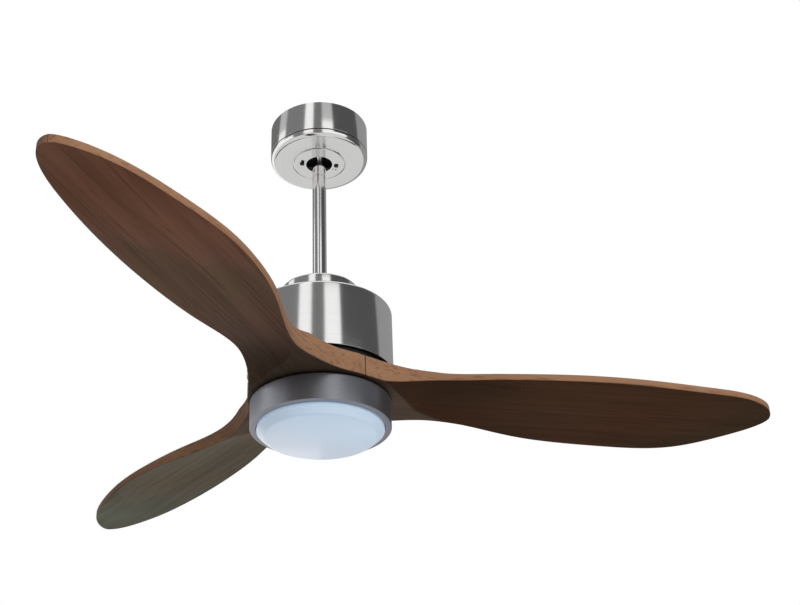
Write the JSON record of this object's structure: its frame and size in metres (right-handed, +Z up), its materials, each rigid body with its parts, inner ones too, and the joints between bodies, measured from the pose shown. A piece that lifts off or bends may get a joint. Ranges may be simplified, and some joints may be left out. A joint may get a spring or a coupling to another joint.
{
  "type": "ceiling fan with light",
  "caption": "Downrod ceiling fan with carved wooden blades on a brushed-metal motor housing and a round LED lamp with an opal diffuser below.",
  "frame": {"origin": "centre of the hanger bracket's top face, on the ceiling plane", "axes": "+Z up along the fan's axis, blade_1 along +X"},
  "size_m": [1.0174, 1.1524, 0.5385],
  "materials": {
    "nickel": "brushed satin nickel",
    "nickel_screws": "satin nickel screw heads",
    "zinc_sheet": "zinc-plated sheet",
    "black_nylon": "matt black nylon",
    "zinc_hardware": "zinc-plated hardware",
    "cast_steel": "black-coated cast steel",
    "shaft_steel": "ground steel tube",
    "bearing_steel": "polished bearing steel",
    "laminations": "stacked electrical steel",
    "copper_wire": "enamelled copper",
    "black_metal": "matt black coat",
    "ferrite": "sintered ferrite",
    "walnut": "satin walnut",
    "gunmetal": "semi-gloss gunmetal",
    "brass_spacers": "plain brass",
    "board_white": "white solder mask",
    "led_phosphor": "yellow phosphor",
    "driver_case": "white moulded case",
    "opal": "opal acrylic, satin"
  },
  "bodies": {
    "ceiling": {"hanger_bracket": "zinc_sheet", "terminal_block": "black_nylon", "canopy": "nickel", "canopy_cover": "nickel", "canopy_screws": "nickel_screws"},
    "hanging": {"hanger_ball": "black_nylon", "ball_set_screw": "zinc_hardware", "cross_pin": "zinc_hardware", "downrod": "nickel", "motor_coupling": "cast_steel", "coupling_pin": "zinc_hardware", "cotter_clip": "zinc_hardware", "coupling_set_screws": "zinc_hardware", "coupling_cover": "nickel", "motor_housing": "nickel", "housing_screws": "zinc_hardware", "motor_shaft": "shaft_steel", "stator_core": "laminations", "stator_windings": "copper_wire", "upper_bearing_inner": "bearing_steel", "lower_bearing_inner": "bearing_steel", "light_plate": "zinc_sheet", "shaft_nuts": "zinc_hardware", "light_pan": "gunmetal", "light_pan_screws": "zinc_hardware", "board_spacers": "brass_spacers", "led_board": "board_white", "led_chips": "led_phosphor", "board_screws": "zinc_hardware", "led_driver": "driver_case"},
    "rotor": {"rotor_bell": "black_metal", "rotor_base": "black_metal", "magnet_ring": "ferrite", "bell_screws": "zinc_hardware", "upper_bearing_outer": "bearing_steel", "lower_bearing_outer": "bearing_steel", "blade_1": "walnut", "blade_2": "walnut", "blade_3": "walnut", "blade_clamp_plate": "zinc_sheet", "blade_screws": "zinc_hardware"},
    "diffuser": {"diffuser": "opal"}
  },
  "joints": [
    {"name": "hanger_tilt", "type": "hinge", "parent": "ceiling", "child": "hanging", "pos_m": [0, 0, -0.032], "axis": [1, 0, 0], "range_deg": [-15, 15]},
    {"name": "blade_spin", "type": "hinge", "parent": "hanging", "child": "rotor", "pos_m": [0, 0, -0.461], "axis": [0, 0, 1], "continuous": true},
    {"name": "diffuser_twist", "type": "hinge", "parent": "hanging", "child": "diffuser", "pos_m": [0, 0, -0.521], "axis": [0, 0, 1], "range_deg": [0, 25]}
  ]
}
